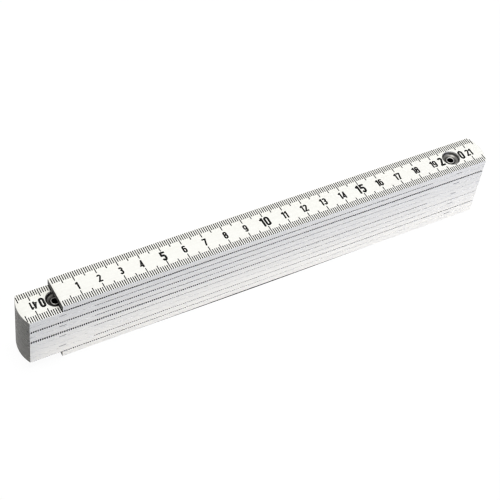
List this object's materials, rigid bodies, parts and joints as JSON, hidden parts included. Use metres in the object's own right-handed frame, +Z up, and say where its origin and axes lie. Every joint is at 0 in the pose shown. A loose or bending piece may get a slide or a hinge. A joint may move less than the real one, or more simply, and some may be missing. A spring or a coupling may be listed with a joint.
{
  "type": "folding rule",
  "caption": "White lacquered wooden folding rule, folded flat: stacked links on riveted steel detent hinges, with a printed millimetre scale.",
  "frame": {"origin": "on the ground, under the middle of the folded stack's bounding box", "axes": "+X along the links, towards the end with the hinge that shows whole on top; +Y across the links; +Z up through the stack, along every hinge's rivet"},
  "size_m": [0.2336, 0.016, 0.0348],
  "materials": {
    "lacquered_wood": "white lacquer, satin, with a printed scale",
    "rivet_steel": "nickel plated",
    "plate_steel": "bright spring steel",
    "cup_steel": "nickel plated, pressed"
  },
  "bodies": {
    "section_01": {"link_01": "lacquered_wood", "hinge_1_rivet": "rivet_steel", "hinge_1_upper_plate": "plate_steel", "hinge_1_upper_cup": "cup_steel"},
    "section_02": {"link_02": "lacquered_wood", "hinge_2_rivet": "rivet_steel", "hinge_2_upper_plate": "plate_steel", "hinge_2_upper_cup": "cup_steel", "hinge_1_lower_plate": "plate_steel", "hinge_1_lower_cup": "cup_steel"},
    "section_03": {"link_03": "lacquered_wood", "hinge_3_rivet": "rivet_steel", "hinge_3_upper_plate": "plate_steel", "hinge_3_upper_cup": "cup_steel", "hinge_2_lower_plate": "plate_steel", "hinge_2_lower_cup": "cup_steel"},
    "section_04": {"link_04": "lacquered_wood", "hinge_4_rivet": "rivet_steel", "hinge_4_upper_plate": "plate_steel", "hinge_4_upper_cup": "cup_steel", "hinge_3_lower_plate": "plate_steel", "hinge_3_lower_cup": "cup_steel"},
    "section_05": {"link_05": "lacquered_wood", "hinge_5_rivet": "rivet_steel", "hinge_5_upper_plate": "plate_steel", "hinge_5_upper_cup": "cup_steel", "hinge_4_lower_plate": "plate_steel", "hinge_4_lower_cup": "cup_steel"},
    "section_06": {"link_06": "lacquered_wood", "hinge_6_rivet": "rivet_steel", "hinge_6_upper_plate": "plate_steel", "hinge_6_upper_cup": "cup_steel", "hinge_5_lower_plate": "plate_steel", "hinge_5_lower_cup": "cup_steel"},
    "section_07": {"link_07": "lacquered_wood", "hinge_7_rivet": "rivet_steel", "hinge_7_upper_plate": "plate_steel", "hinge_7_upper_cup": "cup_steel", "hinge_6_lower_plate": "plate_steel", "hinge_6_lower_cup": "cup_steel"},
    "section_08": {"link_08": "lacquered_wood", "hinge_8_rivet": "rivet_steel", "hinge_8_upper_plate": "plate_steel", "hinge_8_upper_cup": "cup_steel", "hinge_7_lower_plate": "plate_steel", "hinge_7_lower_cup": "cup_steel"},
    "section_09": {"link_09": "lacquered_wood", "hinge_9_rivet": "rivet_steel", "hinge_9_upper_plate": "plate_steel", "hinge_9_upper_cup": "cup_steel", "hinge_8_lower_plate": "plate_steel", "hinge_8_lower_cup": "cup_steel"},
    "section_10": {"link_10": "lacquered_wood", "hinge_9_lower_plate": "plate_steel", "hinge_9_lower_cup": "cup_steel"}
  },
  "joints": [
    {"name": "hinge_1", "type": "hinge", "parent": "section_02", "child": "section_01", "pos_m": [0.1, 0, 0.0314], "axis": [0, 0, 1], "range_deg": [-180, 180]},
    {"name": "hinge_2", "type": "hinge", "parent": "section_03", "child": "section_02", "pos_m": [-0.1, 0, 0.0279], "axis": [0, 0, 1], "range_deg": [-180, 180]},
    {"name": "hinge_3", "type": "hinge", "parent": "section_04", "child": "section_03", "pos_m": [0.1, 0, 0.0244], "axis": [0, 0, 1], "range_deg": [-180, 180]},
    {"name": "hinge_4", "type": "hinge", "parent": "section_05", "child": "section_04", "pos_m": [-0.1, 0, 0.0209], "axis": [0, 0, 1], "range_deg": [-180, 180]},
    {"name": "hinge_5", "type": "hinge", "parent": "section_06", "child": "section_05", "pos_m": [0.1, 0, 0.0174], "axis": [0, 0, 1], "range_deg": [-180, 180]},
    {"name": "hinge_6", "type": "hinge", "parent": "section_07", "child": "section_06", "pos_m": [-0.1, 0, 0.0139], "axis": [0, 0, 1], "range_deg": [-180, 180]},
    {"name": "hinge_7", "type": "hinge", "parent": "section_08", "child": "section_07", "pos_m": [0.1, 0, 0.0104], "axis": [0, 0, 1], "range_deg": [-180, 180]},
    {"name": "hinge_8", "type": "hinge", "parent": "section_09", "child": "section_08", "pos_m": [-0.1, 0, 0.0069], "axis": [0, 0, 1], "range_deg": [-180, 180]},
    {"name": "hinge_9", "type": "hinge", "parent": "section_10", "child": "section_09", "pos_m": [0.1, 0, 0.0034], "axis": [0, 0, 1], "range_deg": [-180, 180]}
  ]
}
